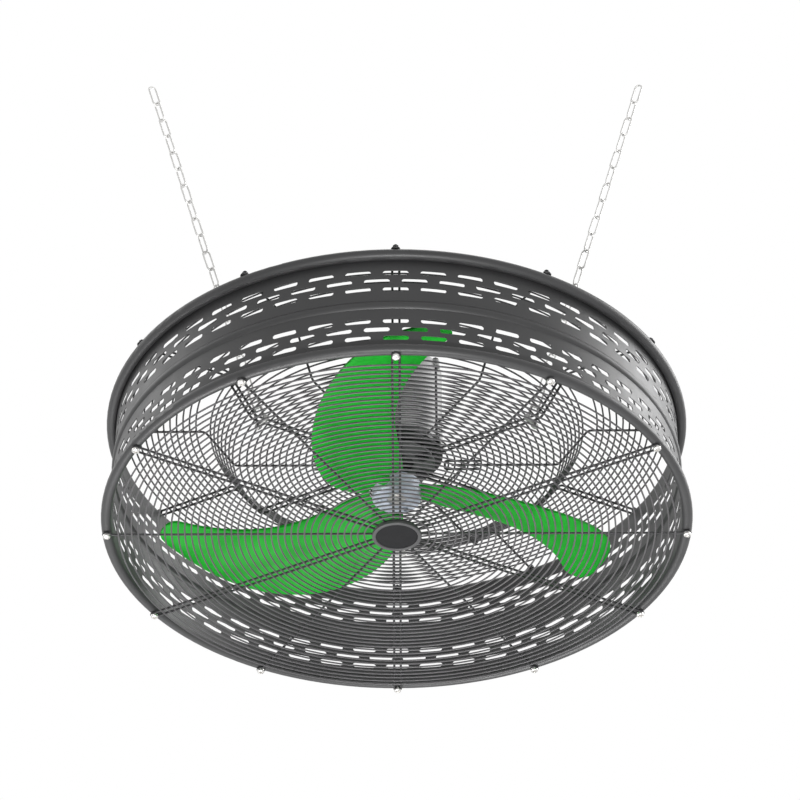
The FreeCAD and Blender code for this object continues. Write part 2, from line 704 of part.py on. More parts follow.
# Terminal box, built along +X and then turned to its place
def box_parts():
    inner = MOTOR_R + FIT + SEAT_GAP
    back = MOTOR_R - BOX_LAP
    z0, z1 = BOX_Z, BOX_Z + BOX_H
    half = BOX_W / 2.0
    shell = Part.makeBox(BOX_OUT_R - back, BOX_W, BOX_H, V(back, -half, z0))
    shell = shell.makeFillet(BOX_EDGE_R, [e for e in shell.Edges if e.BoundBox.XLength > BOX_LAP])
    room = Part.makeBox(BOX_OUT_R, BOX_W - 2 * BOX_WALL, BOX_H - 2 * BOX_WALL,
                        V(MOTOR_R + BOX_WALL, BOX_WALL - half, z0 + BOX_WALL))
    posts = []
    holes = []
    screws = []
    head = LID_T * 0.8
    top = BOX_OUT_R + LID_T + 2 * SEAT_GAP
    x = V(1, 0, 0)
    for sy in (-1, 1):
        for z in (z0 + LID_SCREW_IN, z1 - LID_SCREW_IN):
            y = sy * (half - LID_SCREW_IN)
            posts.append(Part.makeCylinder(POST_R, POST_L, V(BOX_OUT_R - POST_L, y, z), x))
            bottom = V(BOX_OUT_R - LID_SCREW_DEPTH - 0.5, y, z)
            holes.append(Part.makeCylinder(LID_SCREW_R + FIT, POST_L, bottom, x))
            shank_l = top - BOX_OUT_R + LID_SCREW_DEPTH
            screw = Part.makeCylinder(LID_SCREW_R, shank_l, V(top - shank_l, y, z), x)
            screws.append(screw.fuse(Part.makeCylinder(LID_SCREW_HEAD_R, head, V(top, y, z), x)))
    gland_x = 0.5 * (MOTOR_R + BOX_OUT_R) + GLAND_SHIFT
    gland_z = z0 + BOX_H / 2.0
    y_dir = V(0, 1, 0)
    shell = shell.cut(room).fuse(posts)
    entry = V(gland_x, half - GLAND_THREAD_L, gland_z)
    shell = shell.cut(holes + [Part.makeCylinder(inner, 3 * BOX_H, V(0, 0, z0 - BOX_H)),
                               Part.makeCylinder(GLAND_THREAD_R + FIT, 2 * GLAND_THREAD_L, entry, y_dir)])
    lid = Part.makeBox(LID_T, BOX_W, BOX_H, V(BOX_OUT_R + SEAT_GAP, -half, z0))
    lid = lid.makeFillet(BOX_EDGE_R, [e for e in lid.Edges if e.BoundBox.XLength > LID_T / 2.0])
    for held in screws:
        spot = held.BoundBox.Center
        foot = V(BOX_OUT_R - LID_T, spot.y, spot.z)
        lid = lid.cut(Part.makeCylinder(LID_SCREW_R + HOLE_FREE, 3 * LID_T, foot, x))
    body = hexagon(GLAND_AF, 0, GLAND_L * 0.4)
    dome = Part.makeCone(GLAND_AF * 0.46, GLAND_AF * 0.36, GLAND_L * 0.6, V(0, 0, GLAND_L * 0.4))
    thread = disc(GLAND_THREAD_R, -GLAND_THREAD_L, 0)
    gland = body.fuse([dome, thread]).cut(disc(GLAND_BORE_R, -2 * GLAND_THREAD_L, GLAND_L + 1))
    gland.rotate(V(0, 0, 0), V(1, 0, 0), -90)
    gland.translate(V(gland_x, half + SEAT_GAP, gland_z))
    block = Part.makeBox(BLOCK_W, BLOCK_L, BLOCK_H,
                         V(MOTOR_R + BOX_WALL + SEAT_GAP, -BLOCK_L / 2.0 - BLOCK_SHIFT, gland_z - BLOCK_H / 2.0))
    way_x = MOTOR_R + BOX_WALL + BLOCK_W - WAY_DEPTH
    block = block.cut([Part.makeCylinder(WAY_R, BLOCK_W, V(way_x, k * WAY_PITCH - BLOCK_SHIFT, gland_z), x)
                       for k in (-1, 0, 1)])
    return [turned(solid_of(s), BOX_ANGLE) for s in (shell, lid, gland, block)] + [around_box(screws)]


def around_box(screws):
    return [turned(solid_of(s), BOX_ANGLE) for s in screws]


# Chains, built upright at the origin along +Z and then leaned and placed
def link():
    d = LINK_D / 2.0
    r = LINK_W / 2.0 - d
    half = LINK_INNER_L / 2.0 + d - r
    z = V(0, 0, 1)
    parts = [Part.makeCylinder(d, 2 * half, V(s * r, 0, -half), z) for s in (-1, 1)]
    for s in (-1, 1):
        bow = rod([arc(V(-r, 0, s * half), V(0, 0, s * (half + r)), V(r, 0, s * half))], LINK_D)
        parts.append(bow)
    return solid_of(parts[0].fuse(parts[1:]).removeSplitter())


def shackle():
    """A bow over a straight pin that lies along Y."""
    d = SHACKLE_D / 2.0
    r = SHACKLE_JAW / 2.0 + d
    top = SHACKLE_REACH - r
    edges = [line(V(0, -r, 0), V(0, -r, top)), arc(V(0, -r, top), V(0, 0, top + r), V(0, r, top)),
             line(V(0, r, top), V(0, r, 0))]
    bow = rod(edges, SHACKLE_D)
    y = V(0, 1, 0)
    outer = r + SHACKLE_EYE_T / 2.0
    eyes = [Part.makeCylinder(SHACKLE_EYE_R, SHACKLE_EYE_T, V(0, y0, 0), y) for y0 in (-outer, outer - SHACKLE_EYE_T)]
    hole = Part.makeCylinder(PIN_R + FIT, 4 * r, V(0, -2 * r, 0), y)
    bow = solid_of(bow.fuse(eyes).cut(hole))
    reach = outer + SEAT_GAP
    pin = Part.makeCylinder(PIN_R, 2 * reach, V(0, -reach, 0), y)
    heads = [Part.makeCylinder(PIN_HEAD_R, PIN_HEAD_T, V(0, reach, 0), y),
             Part.makeCylinder(PIN_HEAD_R, PIN_HEAD_T, V(0, -reach - PIN_HEAD_T, 0), y)]
    return bow, solid_of(pin.fuse(heads).removeSplitter())


def placed_chain(shape, angle):
    copy = turned(shape, CHAIN_LEAN, V(0, 0, 0), V(0, 1, 0))
    copy.translate(V(CHAIN_R, 0, PIN_Z))
    return turned(copy, angle)


def main():
    export("drum_shell", drum_shell())

    rings = front_rings()
    half = (len(rings) + 1) // 2
    export("front_guard_outer_rings", rings[:half])
    export("front_guard_inner_rings", rings[half:])
    double = hairpin(flat_path(SINGLE_IN_R, RIM_R, FRONT_SPOKE_Z))
    export("front_guard_hairpins", around(double, HAIRPIN_ANGLES))
    single = flat_path(SINGLE_IN_R, RIM_R - HAIRPIN_HALF, FRONT_SPOKE_Z)(0.0)
    export("front_guard_singles", around(eyelet(single), SINGLE_ANGLES))
    head_z = FRONT_SPOKE_Z - SPOKE_D / 2.0 - SEAT_GAP
    screw = moved(pan_screw(SCREW_R, SCREW_HEAD_R, SCREW_HEAD_H, SCREW_L, head_z), V(RIM_R, 0, 0))
    export("front_screws", around(screw, RIM_ANGLES))

    cap_top = FRONT_SPOKE_Z - SPOKE_D / 2.0 - SEAT_GAP
    plate_z = FRONT_SPOKE_Z + SPOKE_D / 2.0 + SEAT_GAP
    cap_spots = [polar(CAP_SCREW_CIRCLE, a) for a in steps(CAP_SCREWS, CAP_SCREW_FIRST)]
    cap = disc(CAP_R, cap_top - CAP_T, cap_top)
    cap = cap.makeFillet(CAP_EDGE_R, [e for e in cap.Edges if e.BoundBox.ZMax < cap_top - CAP_T + 0.01])
    hole_z = cap_top - CAP_T * 0.7
    cap = cap.cut([disc(CAP_SCREW_R + FIT, hole_z, cap_top + 1, p.x, p.y) for p in cap_spots])
    export("cap_disc", solid_of(cap))
    trim = tube(CAP_RING_R, CAP_R + CAP_FIT, cap_top - CAP_RING_T, cap_top)
    low = cap_top - CAP_RING_T
    trim = trim.makeFillet(CAP_RING_EDGE_R, [e for e in trim.Edges
                                             if abs(e.BoundBox.ZMax - low) < 0.01 and e.BoundBox.ZLength < 0.01])
    export("cap_ring", trim)
    back = disc(CAP_PLATE_R, plate_z, plate_z + CAP_PLATE_T)
    over = plate_z + CAP_PLATE_T + 1
    back = back.cut([disc(CAP_SCREW_R + HOLE_FREE, plate_z - 1, over, p.x, p.y) for p in cap_spots])
    export("cap_back_plate", solid_of(back))
    small_l = SPOKE_D + CAP_PLATE_T + CAP_T * 0.5
    small = pan_screw(CAP_SCREW_R, CAP_SCREW_HEAD_R, CAP_SCREW_HEAD_H, small_l, 0.0)
    small.rotate(V(0, 0, 0), V(1, 0, 0), 180)
    seat = plate_z + CAP_PLATE_T + SEAT_GAP
    export("cap_screws", [moved(small, V(p.x, p.y, seat)) for p in cap_spots])

    export("rear_guard_rim_rings", rear_rim_rings())
    export("rear_guard_dish_rings", rear_dish_rings())
    export("rear_guard_floor_rings", rear_floor_rings())
    export("rear_guard_hairpins", around(hairpin(dish_path(REAR_HAIRPIN_IN_R, RIM_R)), HAIRPIN_ANGLES))
    at_lugs = [a for a in SINGLE_ANGLES if abs(math.sin(math.radians(a))) < 0.01]
    others = [a for a in SINGLE_ANGLES if a not in at_lugs]
    short = eyelet(dish_path(REAR_LUG_SPOKE_IN_R, RIM_R - HAIRPIN_HALF)(0.0))
    full = eyelet(dish_path(REAR_SINGLE_IN_R, RIM_R - HAIRPIN_HALF)(0.0))
    export("rear_guard_singles", around(short, at_lugs) + around(full, others))
    export("rear_guard_lugs", around(lug(), at_lugs))
    nut_z = REAR_SPOKE_Z + SPOKE_D / 2.0 + SEAT_GAP
    room = math.sqrt((CURL_R - SHEET) ** 2 - (STUD_HEAD_R + SEAT_GAP) ** 2)
    head_top = DRUM_H - CURL_R + room
    stud = disc(SCREW_R, head_top, nut_z + NUT_H + STUD_PROUD)
    stud = stud.fuse(disc(STUD_HEAD_R, head_top - STUD_HEAD_H, head_top))
    stud_set = (solid_of(stud.removeSplitter()), nut(NUT_AF, SCREW_R + FIT, nut_z, nut_z + NUT_H))
    stud_set = [moved(piece, V(RIM_R, 0, 0)) for piece in stud_set]
    export("rear_studs", [turned(piece, a) for a in RIM_ANGLES for piece in stud_set])

    plate = tube(PLATE_R, PLATE_BORE_R, PLATE_Z, PLATE_Z + PLATE_T)
    screw_hole = disc(SCREW_HOLE_R, PLATE_Z - 1, PLATE_Z + PLATE_T + 1, MOUNT_CIRCLE)
    plate = plate.cut(around(screw_hole, HAIRPIN_ANGLES))
    export("motor_plate", solid_of(plate))
    iso_z = PLATE_Z + PLATE_T + SEAT_GAP
    bush = tube(ISOLATOR_R, SCREW_HOLE_R, iso_z, iso_z + ISOLATOR_H)
    flat_edges = [e for e in bush.Edges if e.BoundBox.ZLength < 1e-6]
    bush = bush.makeFillet(ISOLATOR_EDGE_R, [e for e in flat_edges if e.BoundBox.XLength > 15])
    export("isolators", around(moved(bush, V(MOUNT_CIRCLE, 0, 0)), HAIRPIN_ANGLES))
    washer_top = DISH_Z - SPOKE_D / 2.0 - SEAT_GAP
    washer = tube(WASHER_R, SCREW_HOLE_R, washer_top - WASHER_T, washer_top)
    under = washer_top - WASHER_T - SEAT_GAP
    head = hexagon(NUT_AF, under - MOUNT_HEAD_H, under)
    bolt = disc(SCREW_R, under, MOTOR_Z + MOUNT_DEPTH - 0.5).fuse(head)
    pair = [moved(piece, V(MOUNT_CIRCLE, 0, 0)) for piece in (solid_of(bolt), washer)]
    export("mount_screws", [turned(piece, a) for a in HAIRPIN_ANGLES for piece in pair])

    export("motor_housing", housing())
    export("motor_front_shield", front_shield())
    export("motor_rear_shield", rear_shield())
    low_nut = MOTOR_Z - SEAT_GAP
    high_nut = REAR_SHIELD_Z + REAR_EAR_T + SEAT_GAP
    tie = disc(ROD_R, low_nut - ROD_NUT_H - 1.0, high_nut + ROD_NUT_H + 1.0, ROD_CIRCLE)
    tie_set = [tie]
    for z in (low_nut - ROD_NUT_H, high_nut):
        tie_set.append(moved(nut(ROD_NUT_AF, ROD_R + FIT, z, z + ROD_NUT_H), V(ROD_CIRCLE, 0, 0)))
    export("tie_rods", [turned(piece, a) for a in steps(RODS, ROD_ANGLE) for piece in tie_set])
    core = tube(MOTOR_R - MOTOR_WALL - FIT, STATOR_BORE_R, CORE_Z, CORE_Z + CORE_L)
    export("stator_core", core)
    export("stator_windings", [winding(CORE_Z - SEAT_GAP - WINDING_L, CORE_Z - SEAT_GAP),
                               winding(CORE_Z + CORE_L + SEAT_GAP, CORE_Z + CORE_L + SEAT_GAP + WINDING_L)])
    front_in, front_out, front_balls = bearing(FRONT_BEARING, FRONT_SEAT_Z)
    rear_in, rear_out, rear_balls = bearing(REAR_BEARING, REAR_SEAT_Z)
    export("front_bearing_outer", front_out)
    export("rear_bearing_outer", rear_out)
    export("front_bearing_inner", front_in)
    export("rear_bearing_inner", rear_in)
    export("front_bearing_balls", front_balls)
    export("rear_bearing_balls", rear_balls)

    shell, lid, gland, block, lid_screws = box_parts()
    export("terminal_box", shell)
    export("terminal_lid", lid)
    export("cable_gland", gland)
    export("terminal_block", block)
    export("lid_screws", lid_screws)

    export("shaft", shaft())
    export("rotor_core", tube(STATOR_BORE_R - AIR_GAP, SHAFT_MID_R + FIT, CORE_Z, CORE_Z + CORE_L))
    export("shaft_key", key_block(0.0))
    export("hub_rear", hub_half(False))
    export("hub_front", hub_half(True))
    bolt_l = HUB_H - 2 * HUB_BOLT_END
    clamp = moved(pan_screw(HUB_BOLT_R, HUB_BOLT_HEAD_R, HUB_BOLT_HEAD_H, bolt_l, HUB_LOW - SEAT_GAP),
                  V(HUB_BOLT_CIRCLE, 0, 0))
    export("hub_bolts", around(clamp, HUB_BOLT_ANGLES))
    washer_z = HUB_LOW + COUNTERBORE_Z - SEAT_GAP
    export("hub_washer", tube(HUB_WASHER_R, SHAFT_BOLT_R + 0.3, washer_z - HUB_WASHER_T, washer_z))
    head_z = washer_z - HUB_WASHER_T - SEAT_GAP
    centre = disc(SHAFT_BOLT_R - FIT, head_z, SHAFT_END_Z + SHAFT_BOLT_DEPTH)
    centre = centre.fuse(hexagon(SHAFT_BOLT_AF, head_z - SHAFT_BOLT_H, head_z))
    export("shaft_bolt", solid_of(centre))
    one = blade()
    for k, a in enumerate(steps(BLADES, BLADE_FIRST)):
        export("blade_%d" % (k + 1), turned(one, a))

    single_link = link()
    links = []
    for k in range(LINKS):
        piece = turned(single_link, 90.0 if k % 2 else 0.0)
        links.append(moved(piece, V(0, 0, LINK_FIRST + k * LINK_STEP)))
    bow, pin = shackle()
    for name, angle in CHAINS:
        export("chain_" + name, [placed_chain(piece, angle) for piece in links[:-1]])
        export("top_link_" + name, placed_chain(links[-1], angle))
        export("shackle_" + name, placed_chain(bow, angle))
        export("shackle_pin_" + name, placed_chain(pin, angle))
    print("chain tops at radius %.2f, height over the rim plane %.2f"
          % (CHAIN_R + CHAIN_L * math.sin(math.radians(CHAIN_LEAN)), TOP_Z))
    print("pins at radius %.2f, z %.3f" % (CHAIN_R, PIN_Z - TOP_Z))
    print("hub z %.3f, gland z %.3f" % (HUB_Z - TOP_Z, BOX_Z + BOX_H / 2.0 - TOP_Z))


main()
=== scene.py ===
import json
import math

import bpy
from bpy.props import FloatProperty, FloatVectorProperty, PointerProperty
from mathutils import Matrix, Vector


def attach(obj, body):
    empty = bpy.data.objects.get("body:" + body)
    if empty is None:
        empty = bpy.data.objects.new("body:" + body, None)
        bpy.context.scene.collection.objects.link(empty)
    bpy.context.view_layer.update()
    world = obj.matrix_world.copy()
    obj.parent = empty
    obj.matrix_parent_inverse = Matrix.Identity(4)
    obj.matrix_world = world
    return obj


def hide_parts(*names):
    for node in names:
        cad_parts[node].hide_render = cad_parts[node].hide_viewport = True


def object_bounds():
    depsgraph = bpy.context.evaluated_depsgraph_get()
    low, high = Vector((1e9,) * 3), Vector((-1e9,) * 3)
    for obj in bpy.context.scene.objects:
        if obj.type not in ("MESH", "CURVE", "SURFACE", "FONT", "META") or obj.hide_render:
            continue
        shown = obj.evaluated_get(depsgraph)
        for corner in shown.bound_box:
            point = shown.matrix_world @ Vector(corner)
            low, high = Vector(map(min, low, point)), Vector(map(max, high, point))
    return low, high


bl_info = {
    "name": "Drum ceiling fan",
    "version": (1, 0, 0),
    "blender": (4, 5, 0),
    "location": "View3D > Sidebar > Drum fan",
    "description": "Finishes, welds and small hardware for a chain-hung drum ceiling fan",
    "category": "Object",
}

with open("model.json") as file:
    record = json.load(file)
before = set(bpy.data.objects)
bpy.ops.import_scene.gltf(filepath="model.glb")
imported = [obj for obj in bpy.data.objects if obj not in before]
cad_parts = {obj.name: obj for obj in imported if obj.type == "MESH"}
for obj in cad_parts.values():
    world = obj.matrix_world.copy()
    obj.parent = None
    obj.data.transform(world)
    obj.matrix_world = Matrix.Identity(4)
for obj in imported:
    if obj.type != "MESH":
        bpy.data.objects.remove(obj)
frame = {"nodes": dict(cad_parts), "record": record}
CAD_BOX = [list(corner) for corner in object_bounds()]
NODES = frame["nodes"]
BODY_OF = {node: body for body, nodes in frame["record"]["behaviour"]["bodies"].items() for node in nodes}

# Guard wires, in metres
RING_RADIUS = 0.0013
HAIRPIN_HALF = 0.0051
HAIRPIN_ANGLES = [math.radians(-90 + 60 * k) for k in range(6)]
SINGLE_ANGLES = [math.radians(60 * k) for k in range(6)]
FRONT_RINGS = ("front_guard_outer_rings", "front_guard_inner_rings")
REAR_RINGS = ("rear_guard_rim_rings", "rear_guard_dish_rings", "rear_guard_floor_rings")
REAR_SINGLE_INNER = 0.084          # the rear guard's single spokes meet no smaller ring
DAB_SHAPE = (1.25, 1.25, 0.9)

# Limits used in modelling
MERGE_LIMIT = 1e-6
FLAT_ANGLE = math.radians(0.5)
SHARP_ANGLE = math.radians(35)

# Stage: each lamp has its place and size in metres and its power in watts
LAMPS = {
    "key lamp": ((3.4, 0.9, 1.2), 2.4, 115.0),
    "left lamp": ((-3.4, 0.9, 2.1), 2.4, 30.0),
    "top lamp": ((0.6, 0.8, 4.0), 3.0, 60.0),
    "under lamp": ((-1.3, 1.5, -4.9), 1.8, 175.0),
    "front lamp": ((0.1, -3.3, -4.7), 0.5, 185.0),
}
WHITE = (1.0, 1.0, 1.0, 1.0)
ROOM_FACING = (0.35, 0.7, -0.3)    # the room is lightest on this side
ROOM_SPAN = 0.8                    # how far from that side the light reaches its two ends
ROOM_DARKEST = 0.15
ROOM_LIGHTEST = 0.90
FLOOR_SIZE = 120.0
FLOOR_GLOW = (0.5, 0.5, 0.5)       # lifts the floor to pale where the camera sees it
VIEW_DEPTH = 200.0


def colour(name, about, default):
    return FloatVectorProperty(name=name, description=about, subtype="COLOR", size=3, min=0.0, max=1.0,
                               default=default)


def length(name, about, default):
    return FloatProperty(name=name, description=about, subtype="DISTANCE", unit="LENGTH", min=0.0,
                         default=default)


class DrumFanFinish(bpy.types.PropertyGroup):
    """Colours that a user would change."""

    drum: colour("Drum", "Powder coat of the drum", (0.036, 0.036, 0.037))
    ring: colour("Front rings", "Dip coat of the front guard's rings", (0.085, 0.082, 0.086))
    rear: colour("Rear rings", "Dip coat of the rear guard's rings", (0.052, 0.050, 0.053))
    # The spokes are the same dip-coated wire as the rings; their darker colour is painted shade.
    spoke: colour("Spokes", "Darker dip coat of the guards' spokes", (0.022, 0.022, 0.023))
    blade: colour("Blade", "Moulded blades", (0.010, 0.350, 0.022))
    hub: colour("Hub", "Turned alloy of the hub", (0.56, 0.61, 0.70))
    motor: colour("Motor", "Enamel of the motor's housing", (0.46, 0.46, 0.46))
    # The front casting is enamelled like the rear one; its near-black colour is painted shade on the motor's
    # underside.
    front_shield: colour("Front shield", "Black enamel of the motor's front casting", (0.030, 0.031, 0.031))
    rear_shield: colour("Rear shield", "Enamel of the motor's rear casting", (0.38, 0.38, 0.38))
    cap: colour("Cap", "Grained disc in the front guard's middle", (0.012, 0.012, 0.013))
    trim: colour("Cap ring", "Ring round the cap", (0.065, 0.065, 0.066))
    zinc: colour("Zinc", "Plated screws", (0.78, 0.77, 0.75))
    chain: colour("Chain", "Plated chains and shackles", (0.64, 0.635, 0.625))
    black: colour("Black steel", "Studs, nuts and tie rods", (0.018, 0.018, 0.020))
    carrier: colour("Carrier", "Coat of the motor plate and the cap's back plate", (0.10, 0.10, 0.102))
    core: colour("Laminations", "Sheet steel of the motor's cores", (0.20, 0.20, 0.21))
    box: colour("Terminal box", "Moulded box and lid", (0.045, 0.045, 0.048))
    gland: colour("Gland", "Moulded cable gland", (0.02, 0.02, 0.02))
    block: colour("Terminal block", "Moulded terminal block", (0.55, 0.52, 0.45))


class DrumFanSizes(bpy.types.PropertyGroup):
    """Sizes of the details that are added here."""

    dab: length("Weld dab", "Radius of the weld where a ring crosses a spoke", 0.0016)
    blade_edge: length("Blade edge", "Radius of a blade's rounded edge", 0.0012)
    chamfer: length("Chamfer", "Rounding of the edges of plates, nuts and boxes", 0.0005)


class DrumFanStage(bpy.types.PropertyGroup):
    """Camera and floor."""

    view_from: FloatVectorProperty(name="Camera", description="Place of the camera", subtype="TRANSLATION",
                                   unit="LENGTH", size=3, default=(0.0054, -3.9877, -3.47171))
    view_up: FloatProperty(name="View angle", description="How far the camera looks up", subtype="ANGLE",
                           unit="ROTATION", default=math.radians(37.167))
    view_roll: FloatProperty(name="Roll", description="How far the camera leans to one side", subtype="ANGLE",
                             unit="ROTATION", default=math.radians(-0.216))
    view_field: FloatProperty(name="Field", description="The camera's field of view", subtype="ANGLE",
                              unit="ROTATION", default=math.radians(14.02))
    floor_depth: length("Floor", "How far the floor lies under the ceiling hooks", 6.5)


# Shader maths
def add_node(tree, kind, settings=None, sockets=None):
    """Adds a node: its settings come first, then the values or links of its sockets."""
    made = tree.nodes.new(kind)
    for key, value in (settings or {}).items():
        setattr(made, key, value)
    for key, value in (sockets or {}).items():
        if isinstance(value, bpy.types.NodeSocket):
            tree.links.new(value, made.inputs[key])
        else:
            made.inputs[key].default_value = value
    return made


class Shade:
    """One socket of a material. Arithmetic on it adds Math nodes."""

    def __init__(self, paint, socket):
        self.paint = paint
        self.socket = socket

    def math(self, operation, first, second=0.0):
        return self.paint.node("ShaderNodeMath", {"operation": operation}, {0: first, 1: second})

    def __add__(self, other):
        return self.math("ADD", self, other)

    def __radd__(self, other):
        return self.math("ADD", other, self)

    def __sub__(self, other):
        return self.math("SUBTRACT", self, other)

    def __rsub__(self, other):
        return self.math("SUBTRACT", other, self)

    def __mul__(self, other):
        return self.math("MULTIPLY", self, other)

    def __rmul__(self, other):
        return self.math("MULTIPLY", other, self)


class Paint:
    """A material under construction: nodes, textures and the final shader."""

    def __init__(self, name):
        self.material = bpy.data.materials.new(name)
        self.material.use_nodes = True
        self.tree = self.material.node_tree
        self.tree.nodes.clear()
        self.place = self.node("ShaderNodeTexCoord", out="Object")

    def node(self, kind, settings=None, sockets=None, out=0):
        ends = dict(sockets or {})
        for key, value in ends.items():
            if isinstance(value, Shade):
                ends[key] = value.socket
        return Shade(self, add_node(self.tree, kind, settings, ends).outputs[out])

    def stretched(self, scale):
        return self.node("ShaderNodeMapping", None, {"Vector": self.place, "Scale": scale})

    def noise(self, scale, detail=2.0, stretch=None):
        where = self.stretched(stretch) if stretch else self.place
        return self.node("ShaderNodeTexNoise", None, {"Vector": where, "Scale": scale, "Detail": detail})

    def cells(self, scale):
        return self.node("ShaderNodeTexVoronoi", None, {"Vector": self.place, "Scale": scale})

    def band(self, value, low, high):
        return self.node("ShaderNodeMapRange", {"interpolation_type": "SMOOTHSTEP"},
                         {"Value": value, "From Min": low, "From Max": high})

    def axis_radius(self):
        flat = self.node("ShaderNodeVectorMath", {"operation": "MULTIPLY"},
                         {0: self.place, 1: (1.0, 1.0, 0.0)})
        return self.node("ShaderNodeVectorMath", {"operation": "LENGTH"}, {0: flat}, out="Value")

    def mix(self, factor, first, second):
        first, second = [c if isinstance(c, Shade) else (*c, 1.0) for c in (first, second)]
        return self.node("ShaderNodeMix", {"data_type": "RGBA"}, {0: factor, 6: first, 7: second}, out=2)

    def bump(self, height, strength, depth):
        return self.node("ShaderNodeBump", None, {"Height": height, "Strength": strength, "Distance": depth})

    def seen(self):
        """One where the camera looks, also in a mirror or through glass, and nought for other light."""
        camera = self.node("ShaderNodeLightPath", out="Is Camera Ray")
        glossy = self.node("ShaderNodeLightPath", out="Is Glossy Ray")
        through = self.node("ShaderNodeLightPath", out="Is Transmission Ray")
        return camera.math("MAXIMUM", camera.math("MAXIMUM", camera, glossy), through)

    def done(self, **sockets):
        named = {key.replace("_", " ").title().replace("Ior", "IOR"): value for key, value in sockets.items()}
        shader = self.node("ShaderNodeBsdfPrincipled", None, named)
        add_node(self.tree, "ShaderNodeOutputMaterial", None, {"Surface": shader.socket})
        return self.material


def scaled(rgb, factor):
    return tuple(min(1.0, channel * factor) for channel in rgb)


# Finishes
def coat(name, rgb, rough, peel_scale, peel, gloss=0.35):
    """A sprayed or dipped coat: soft mottling, fine speckle and an orange-peel skin."""
    p = Paint(name)
    clouds = p.noise(11.0, 3.0)
    speckle = p.noise(1400.0, 1.0)
    tone = p.mix(p.band(clouds, 0.3, 0.7), scaled(rgb, 0.9), scaled(rgb, 1.1))
    tone = p.mix(p.band(speckle, 0.62, 0.74) * 0.35, tone, scaled(rgb, 1.5))
    skin = p.noise(peel_scale, 2.0)
    return p.done(base_color=tone, roughness=rough + 0.12 * (p.noise(38.0, 2.0) - 0.5),
                  specular_ior_level=gloss, normal=p.bump(skin, peel, 0.0004))


def plated(name, rgb, rough):
    """Zinc plate: crystal spangle, fine scratches and a little white bloom."""
    p = Paint(name)
    spangle = p.cells(260.0)
    bloom = p.band(p.noise(70.0, 4.0), 0.52, 0.72)
    scratch = p.noise(420.0, 3.0, (1.0, 1.0, 0.08))
    tone = p.mix(spangle * 0.5, scaled(rgb, 0.88), rgb)
    tone = p.mix(bloom * 0.25, tone, scaled(rgb, 0.72))
    return p.done(base_color=tone, metallic=1.0, roughness=rough + 0.10 * bloom + 0.10 * (scratch - 0.5),
                  normal=p.bump(scratch, 0.10, 0.0002))


def black_oxide(name, rgb):
    p = Paint(name)
    rub = p.band(p.noise(160.0, 4.0), 0.56, 0.75)
    return p.done(base_color=p.mix(rub * 0.4, rgb, scaled(rgb, 4.0)), metallic=0.6,
                  roughness=0.42 - 0.10 * rub, normal=p.bump(p.noise(900.0), 0.10, 0.0002))


def grained(name, rgb):
    """Moulded plastic with a fine leather-like grain."""
    p = Paint(name)
    grain = p.cells(1500.0)
    tone = p.mix(p.band(p.noise(1100.0, 1.0), 0.40, 0.62), scaled(rgb, 0.75), scaled(rgb, 1.35))
    return p.done(base_color=tone, roughness=0.58 + 0.14 * (p.noise(60.0) - 0.5), specular_ior_level=0.12,
                  normal=p.bump(grain, 0.30, 0.0003))


def turned_alloy(name, rgb):
    """Lathe-turned alloy: fine rings about the fan's axis over a satin surface."""
    p = Paint(name)
    radius = p.axis_radius()
    rings = p.node("ShaderNodeMath", {"operation": "SINE"}, {0: radius * 9000.0})
    cloud = p.noise(45.0, 3.0)
    tone = p.mix(p.band(cloud, 0.3, 0.7), scaled(rgb, 0.90), scaled(rgb, 1.12))
    return p.done(base_color=tone, metallic=0.2, roughness=0.40 + 0.06 * rings + 0.10 * (cloud - 0.5),
                  normal=p.bump(rings, 0.06, 0.0001))


def moulded_blade(name, rgb):
    """Semi-gloss moulded plastic with faint flow lines and a fine texture."""
    p = Paint(name)
    flow = p.noise(9.0, 4.0, (1.0, 1.0, 3.0))
    tone = p.mix(p.band(flow, 0.35, 0.65), scaled(rgb, 0.93), scaled(rgb, 1.07))
    return p.done(base_color=tone, roughness=0.46 + 0.10 * (p.noise(30.0, 3.0) - 0.5),
                  specular_ior_level=0.13, normal=p.bump(p.noise(700.0, 2.0), 0.08, 0.0003))


def laminated(name, rgb):
    """Stacked sheet steel: dark lines between the laminations."""
    p = Paint(name)
    height = p.node("ShaderNodeSeparateXYZ", None, {0: p.place}, out="Z")
    lines = p.node("ShaderNodeMath", {"operation": "SINE"}, {0: height * 6283.0})
    return p.done(base_color=p.mix(p.band(lines, 0.5, 0.95), rgb, scaled(rgb, 0.35)), metallic=0.9,
                  roughness=0.45 + 0.1 * (p.noise(90.0) - 0.5), normal=p.bump(lines, 0.3, 0.0002))


def wound_copper(name):
    p = Paint(name)
    strands = p.noise(300.0, 3.0, (1.0, 1.0, 6.0))
    return p.done(base_color=p.mix(p.band(strands, 0.35, 0.65), (0.30, 0.09, 0.03), (0.62, 0.27, 0.11)),
                  metallic=0.8, roughness=0.34 + 0.2 * (strands - 0.5), normal=p.bump(strands, 0.6, 0.0008))


def ground_steel(name):
    p = Paint(name)
    marks = p.noise(500.0, 3.0, (1.0, 1.0, 0.1))
    tone = p.mix(p.band(marks, 0.3, 0.7), (0.50, 0.50, 0.51), (0.66, 0.66, 0.67))
    return p.done(base_color=tone, metallic=1.0, roughness=0.24 + 0.12 * (marks - 0.5),
                  normal=p.bump(marks, 0.05, 0.0001))


def rubber(name):
    p = Paint(name)
    dust = p.band(p.noise(55.0, 4.0), 0.45, 0.75)
    tone = p.mix(dust * 0.5, (0.012, 0.012, 0.012), (0.06, 0.058, 0.055))
    return p.done(base_color=tone, roughness=0.72 + 0.12 * dust,
                  normal=p.bump(p.noise(600.0, 3.0), 0.25, 0.0004))


# Small modelling tools
def deselect():
    if bpy.context.mode != "OBJECT":
        bpy.ops.object.mode_set(mode="OBJECT")
    bpy.ops.object.select_all(action="DESELECT")


def only(piece):
    deselect()
    piece.select_set(True)
    bpy.context.view_layer.objects.active = piece


